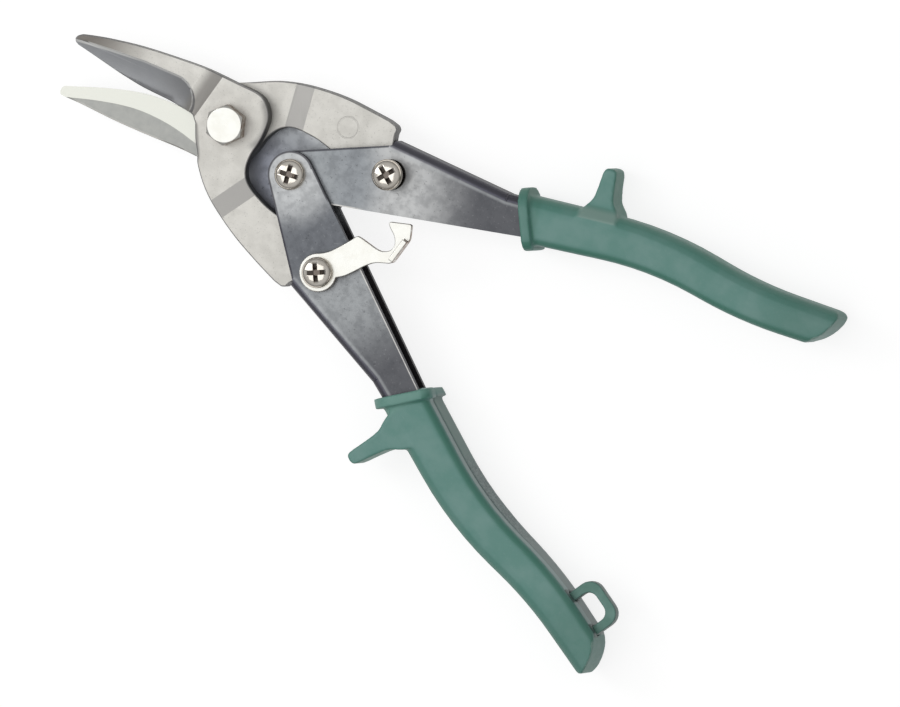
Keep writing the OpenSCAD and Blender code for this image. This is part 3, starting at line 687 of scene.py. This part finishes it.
# %% [markdown]
# ## Grip plastic
# The grips are dipped-looking green vinyl sleeves, moulded in one piece with a collar and a finger spur.
# The plastic is matt and a little cloudy. It gets a deeper green as painted shade where it turns away from
# the light, the upper and the lower collar are shaded and lit copies of the green, and the sleeve is darker
# towards the end. These zones follow the bent sleeve and not straight axes, so the mesh will carry its own
# measures: along the sleeve and depth in millimetres, and across, which is -1 on the inner side and 1 on
# the outer.

# %% Green vinyl
vinyl_deep, vinyl_pale, vinyl_fleck = paint(98, 148, 138), paint(113, 156, 148), paint(120, 158, 150)
rounded_edge_shade_tone, turned_away_shade_tone, outer_side_shade_tone = paint(66, 125, 107), paint(66, 128, 109), paint(72, 134, 115)
shaded_upper_collar, lit_lower_collar, far_tone = paint(66, 122, 105), paint(116, 162, 150), paint(74, 118, 106)


def measured(tree, name):
    return Flow(add(tree, "ShaderNodeAttribute", attribute_name=name).outputs["Fac"])


grip_green, tree, skin = start_finish("grip_green")
place = place_in_mm(tree)
slope = steepness(tree)
along, across, depth = (measured(tree, name) for name in ("along", "across", "depth"))
on_lower = fall(split(place)[1], -3.0, 3.0)

vinyl = tint(climb(cloud(place, 9.0), 0.35, 0.68), vinyl_deep, vinyl_pale)
vinyl = tint(climb(cloud(place, 0.8, detail=2.0), 0.6, 0.85), vinyl, vinyl_fleck)
# painted shade: rounded edges are painted a deeper green
rounded_edge_shade = climb(slope, 0.3, 0.6) * fall(slope, 0.9, 0.985) * spread(fall(across, 0.0, 0.2), 0.2, 0.7)
vinyl = tint(rounded_edge_shade, vinyl, rounded_edge_shade_tone)
# painted shade: faces turning away on the outer half are painted darker
turned_away = fall(slope, 0.55, 1.0) * climb(across, 0.1, 0.3)
vinyl = tint(turned_away * 0.45, vinyl, turned_away_shade_tone)
# shaded and lit copies of the green: the upper collar is painted darker, the lower one lighter
collar = fall(along, 3.0, 5.0) * spread(on_lower, 0.35, 0.75)
vinyl = tint(collar, vinyl, tint(on_lower, shaded_upper_collar, lit_lower_collar))
# painted shade: the outer side is painted a deeper green
outer_side = climb(across, 0.75, 0.95) * fall(slope, 0.3, 0.6)
vinyl = tint(outer_side * 0.6, vinyl, outer_side_shade_tone)
vinyl = tint(climb(along, 70.0, 92.0) * 0.35, vinyl, far_tone)
print("vinyl toned with", len(tree.nodes), "nodes")

# %% [markdown]
# On the inner side a parting seam runs along the sleeve, with a smooth strip before it and a grainy one
# behind, left by the two halves of the mould; behind the seam the strip is darker, partly grain and partly
# painted shade. The end of the sleeve has a pale rim, the spur of the upper grip a painted highlight at its
# root, and the two holes that take the hang loop are painted dark as shade.

# %% Seam, strips, rim and sockets
strip_grey, strip_pale = paint(155, 179, 176), paint(171, 192, 189)
grain_dark, grain_pale = paint(104, 121, 120), paint(150, 169, 167)
smooth_near, smooth_far = paint(122, 150, 143), paint(140, 157, 154)
seam_tone, rim_tone, spur_root_highlight_tone, socket_shade_tone = (
    paint(66, 84, 80), paint(146, 172, 163), paint(140, 168, 159), paint(38, 66, 60))
matt_vinyl = (0.42, 0.55)
spur_at = 21.8
loop_legs = (81.55, 94.05)

inner = fall(across, -0.96, -0.9) * fall(depth, 5.8, 6.4) * climb(along, 4.6, 6.0)
vinyl = tint(inner, vinyl, tint(cloud(place, 1.0), strip_grey, strip_pale))
grain = climb(cloud(place, 0.7, rough=0.7), 0.4, 0.62)
grain_zone = climb(along, 22.0, 33.0) * fall(along, 52.0, 68.0)
smooth_tone = tint(climb(along, 30.0, 60.0), smooth_near, smooth_far)
grainy = tint(grain_zone, smooth_tone, tint(grain, grain_dark, grain_pale))
# the strip behind the seam is darker, partly its grain and partly painted shade
behind_seam = fall(depth, 2.0, 2.6) * inner
vinyl = tint(behind_seam, vinyl, grainy)
seam = climb(depth, 2.0, 2.3) * fall(depth, 2.7, 3.0) * inner * fall(along, 40.0, 70.0)
vinyl = tint(seam * 0.6, vinyl, seam_tone)
rim = climb(slope, 0.25, 0.4) * fall(slope, 0.85, 0.95) * climb(along, 96.5, 97.5) * fall(across, 0.2, 0.45)
vinyl = tint(rim * 0.7, vinyl, rim_tone)
# painted highlight at the root of the spur
spur_root_highlight = fall(abs(along - spur_at), 5.0, 6.8) * climb(across, 0.58, 0.66) * fall(across, 0.95, 1.3)
spur_root_highlight = spur_root_highlight * climb(depth, 3.0, 5.0) * fall(on_lower, 0.4, 0.6)
vinyl = tint(spur_root_highlight * 0.85, vinyl, spur_root_highlight_tone)
# painted shade: the two holes that take the hang loop are painted dark
sockets = most(*(fall(abs(along - leg), 2.0, 2.6) for leg in loop_legs)) * on_lower
sockets = sockets * fall(across, -0.9, -0.8) * climb(depth, 1.0, 2.0) * fall(depth, 6.2, 6.8)
vinyl = tint(sockets * 0.85, vinyl, socket_shade_tone)

connect(vinyl, skin.inputs["Base Color"])
connect(spread(cloud(place, 2.0), *matt_vinyl), skin.inputs["Roughness"])
fine_grain = cloud(place, 0.3, detail=2.0) * 0.25
coarse_grain = grain * behind_seam * grain_zone
give_bump(skin, fine_grain + coarse_grain - seam, lift=0.12, strength=0.5)
print("grip vinyl has", len(tree.nodes), "nodes")

# %% [markdown]
# ## The grips themselves
# A moulding has no sharp corner anywhere: spur, collar and sleeve flow into each other. The plain solid
# gives the right sizes, so its surface is laid again as an even net of small squares and then smoothed,
# which rounds every corner in and out by about a millimetre. Every point of the net is then measured
# from the sleeve's bent centre line, and on the lower grip the points behind the parting seam are moved
# out a little, as where the halves of a mould do not quite meet.

# %% Centre line of a grip
sleeve_start = (75.6, 5.8)
sleeve_heading = 2.2
stretches = (
    (25.0, 0.0),
    (112 * math.radians(16.7), -16.7),
    (4.0, 0.0),
    (130 * math.radians(11), 11.0),
    (16.4, 0.0),
)
line_step = 0.25


def centre_line():
    at, heading, line = np.array(sleeve_start), sleeve_heading, []
    for length, turn in stretches:
        steps = max(2, round(length / line_step))
        for _ in range(steps):
            line.append((*at, heading))
            heading += turn / steps
            aim_at = np.array([math.cos(math.radians(heading)), math.sin(math.radians(heading))])
            at = at + length / steps * aim_at
    return np.array(line + [(*at, heading)])


sleeve = centre_line()
sleeve_run = np.concatenate([[0.0], np.cumsum(np.linalg.norm(np.diff(sleeve[:, :2], axis=0), axis=1))])
print(f"a grip is {sleeve_run[-1]:.1f} mm long on its centre line")

# %% Measure a net on the sleeve
handle_swing = math.radians(21.8)
sleeve_width, sleeve_taper = 14.6, 2.6
blocks = 40


def spots_of(mesh):
    spots = np.empty(len(mesh.vertices) * 3)
    mesh.vertices.foreach_get("co", spots)
    return spots.reshape(-1, 3)


def measure_on_sleeve(mesh, side):
    spots = spots_of(mesh) / mm - np.array(handle_pivot)
    swing = handle_swing * side
    out_x = spots[:, 0] * math.cos(swing) + spots[:, 1] * math.sin(swing)
    out_y = side * (spots[:, 1] * math.cos(swing) - spots[:, 0] * math.sin(swing))
    seen_flat = np.stack([out_x, out_y], 1)
    near = np.concatenate([
        np.argmin(((block[:, None, :] - sleeve[None, :, :2]) ** 2).sum(2), axis=1)
        for block in np.array_split(seen_flat, blocks)
    ])
    turn = np.radians(sleeve[near, 2])
    gap = seen_flat - sleeve[near, :2]
    ahead = gap[:, 0] * np.cos(turn) + gap[:, 1] * np.sin(turn)
    aside = gap[:, 1] * np.cos(turn) - gap[:, 0] * np.sin(turn)
    along = sleeve_run[near] + ahead
    half = (sleeve_width - sleeve_taper * np.clip(along, 0, None) / sleeve_run[-1]) / 2
    for name, values in (("along", along), ("across", aside / half), ("depth", spots[:, 2])):
        mesh.attributes.new(name, "FLOAT", "POINT").data.foreach_set("value", values.astype(np.float32))
    outward = np.stack([
        -np.sin(turn) * math.cos(swing) - side * np.cos(turn) * math.sin(swing),
        -np.sin(turn) * math.sin(swing) + side * np.cos(turn) * math.cos(swing),
        np.zeros(len(turn)),
    ], 1)
    return along, aside / half, spots[:, 2], outward


print(f"a sleeve is {sleeve_width} mm wide at the collar and {sleeve_width - sleeve_taper:.1f} mm at its end")


# %% Step the lower sleeve at its parting seam
seam_step = {1: 0.0, -1: 0.9}
seam_top, seam_foot, swell_depth = 2.4, 1.9, 7.0
step_share, swell_share = 0.3, 0.7
inner_from, inner_over = 0.3, 0.6
collar_end, fade_in = 2.5, 3.0
seam_end, fade_out = 88.0, 40.0


def share(gap, length):
    return np.clip(gap / length, 0, 1)


def step_at_seam(mesh, side):
    along, across, depth, outward = measure_on_sleeve(mesh, side)
    behind = step_share * share(seam_top - depth, seam_top - seam_foot)
    behind += swell_share * share(seam_foot - depth, swell_depth)
    inner = share(-across - inner_from, inner_over)
    stretch = share(along - collar_end, fade_in) * share(seam_end - along, fade_out)
    spots = spots_of(mesh) - outward * (seam_step[side] * mm * behind * inner * stretch)[:, None]
    mesh.vertices.foreach_set("co", spots.ravel())
    mesh.update()


print("the lower sleeve stands", seam_step[-1], "mm prouder behind its seam")

# %% Lay the grips again as mouldings
net_size = 0.45 * mm


def mould(name, side):
    plain = parts[name].data.copy()
    net = bmesh.new()
    net.from_mesh(plain)
    bmesh.ops.remove_doubles(net, verts=net.verts, dist=weld_gap)
    net.to_mesh(plain)
    net.free()
    piece = bpy.data.objects.new(name + "_moulded", plain)
    bpy.context.scene.collection.objects.link(piece)
    relay = piece.modifiers.new("even_net", "REMESH")
    relay.mode = "VOXEL"
    relay.voxel_size = net_size
    soften = piece.modifiers.new("soft_corners", "SMOOTH")
    soften.factor = 0.5
    soften.iterations = 8
    bpy.context.view_layer.update()
    softened = piece.evaluated_get(bpy.context.evaluated_depsgraph_get())
    piece.data = bpy.data.meshes.new_from_object(softened)
    piece.modifiers.clear()
    piece.data.shade_smooth()
    step_at_seam(piece.data, side)
    piece.data.materials.clear()
    piece.data.materials.append(grip_green)
    return piece


grips = {}
for name, side, body in (("upper_grip", 1, "upper_handle"), ("lower_grip", -1, "lower_handle")):
    grips[name] = mould(name, side)
    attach(grips[name], body)
    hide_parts(name)
    print(name, "moulded with", len(grips[name].data.polygons), "faces")

# %% [markdown]
# ## Hang loop
# The loop is a bent bar of the same green plastic, pushed into the end of the lower grip. It keeps its
# solid and only needs rounder edges. It has no sleeve measures, so it gets a plainer copy of the finish.

# %% Loop plastic
loop_deep, loop_pale, loop_side_shade = paint(90, 134, 122), paint(108, 148, 138), paint(104, 124, 119)

loop_green, tree, skin = start_finish("loop_green")
place = place_in_mm(tree)
vinyl = tint(climb(cloud(place, 5.0), 0.35, 0.68), loop_deep, loop_pale)
# painted shade: the upright sides of the loop are painted greyer
vinyl = tint(fall(steepness(tree), 0.3, 0.8), vinyl, loop_side_shade)
connect(vinyl, skin.inputs["Base Color"])
connect(spread(cloud(place, 2.0), *matt_vinyl), skin.inputs["Roughness"])
give_bump(skin, cloud(place, 0.3, detail=2.0), lift=0.03, strength=0.4)
dress(parts["hang_loop"], loop_green, 0.5)
print("loop plastic has", len(tree.nodes), "nodes")

# %% [markdown]
# ## Camera
# The picture was taken from well above, a little from the grips' side, with a long lens. The direction
# and the turn about it were found by laying the solids over the picture. A lens this long flattens the
# view almost to a drawing, as the picture shows.

# %% Camera on the picture's line of sight
picture_width = 900
focal_pixels = 19585.27
look_back = Vector((0.18984226, 0.16374493, 0.9680638)).normalized()
look_up = Vector((-0.59819563, 0.80114336, -0.01820164)).normalized()
look_right = look_up.cross(look_back).normalized()
look_up = look_back.cross(look_right)
aim = Vector((96.761, -15.438, 7.363)) * mm
away = 6.0

lens = bpy.data.cameras.new("picture_lens")
lens.sensor_fit = "HORIZONTAL"
lens.sensor_width = 36.0
lens.lens = focal_pixels * lens.sensor_width / picture_width
lens.clip_start = 0.1
lens.clip_end = 50.0
camera = bpy.data.objects.new("picture_camera", lens)
facing = Matrix((look_right, look_up, look_back)).transposed().to_4x4()
camera.matrix_world = Matrix.Translation(aim + look_back * away) @ facing
bpy.context.scene.collection.objects.link(camera)
bpy.context.scene.camera = camera
print(f"camera {away} m away, lens {lens.lens:.0f} mm")

# %% [markdown]
# ## Floor and light
# A white floor lies under the snips, bright enough to the camera to read as paper and still able to show
# their shadow. A large soft lamp hangs where the flat steel mirrors it, a smaller one from the left gives
# the screws their glint and the plates their shadows, and the room fades darker towards the horizon so
# that round metal has something to reflect.

# %% White floor
floor_half = 4.0
floor_place = (0.1, 0.0, -0.0004)
paper_grey = (0.3, 0.3, 0.3, 1.0)
white = (1.0, 1.0, 1.0, 1.0)
paper_glow = 0.81

floor_mesh = bpy.data.meshes.new("paper_floor")
net = bmesh.new()
bmesh.ops.create_grid(net, x_segments=8, y_segments=8, size=floor_half)
net.to_mesh(floor_mesh)
net.free()
floor = bpy.data.objects.new("paper_floor", floor_mesh)
floor.location = floor_place
bpy.context.scene.collection.objects.link(floor)
floor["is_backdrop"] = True
paper, tree, skin = start_finish("paper")
skin.inputs["Base Color"].default_value = paper_grey
skin.inputs["Roughness"].default_value = 0.9
skin.inputs["Specular IOR Level"].default_value = 0.1
skin.inputs["Emission Color"].default_value = white
rays = add(tree, "ShaderNodeLightPath").outputs
seen = most(*(Flow(rays[f"Is {kind} Ray"]) for kind in ("Camera", "Glossy", "Transmission")))
connect(seen * paper_glow, skin.inputs["Emission Strength"])
floor_mesh.materials.append(paper)
print("floor laid,", 2 * floor_half, "m wide")


# %% Lamps
def soft_lamp(name, direction, distance, size, power):
    lamp = bpy.data.lights.new(name, "AREA")
    lamp.shape = "SQUARE"
    lamp.size = size
    lamp.energy = power
    stand = bpy.data.objects.new(name, lamp)
    direction = direction.normalized()
    stand.location = aim + direction * distance
    stand.rotation_euler = direction.to_track_quat("Z", "Y").to_euler()
    bpy.context.scene.collection.objects.link(stand)


overhead = Vector((-0.18, -0.12, 0.976))
from_left = look_back * 0.5 - look_right * 0.8 + look_up * 0.3
soft_lamp("overhead_softbox", overhead, distance=1.5, size=1.3, power=5.0)
soft_lamp("left_lamp", from_left, distance=1.0, size=0.36, power=1.3)

# %% Room
horizon, zenith = (0.16, 0.16, 0.165, 1.0), (0.5, 0.5, 0.5, 1.0)

room = bpy.data.worlds.new("studio_room")
bpy.context.scene.world = room
room.use_nodes = True
tree = room.node_tree
ray_up = split(Flow(add(tree, "ShaderNodeTexCoord").outputs["Generated"]))[2]
walls = tint(climb(ray_up, 0.0, 0.8), horizon, zenith)
to_camera = Flow(add(tree, "ShaderNodeLightPath").outputs["Is Camera Ray"])
connect(tint(to_camera, walls, white), tree.nodes["Background"].inputs["Color"])
bpy.context.scene.view_settings.view_transform = "Standard"
print("room has", len(tree.nodes), "nodes")

# %% [markdown]
# ## Last measure
# The dressed snips must not outgrow their solids, so both boxes are written down before the scene closes.

# %% Print both boxes and finish
dressed_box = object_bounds()
for title, box in (("solids", cad_box), ("dressed", dressed_box)):
    print(title, [round(v / mm, 2) for v in box[1] - box[0]], "mm")
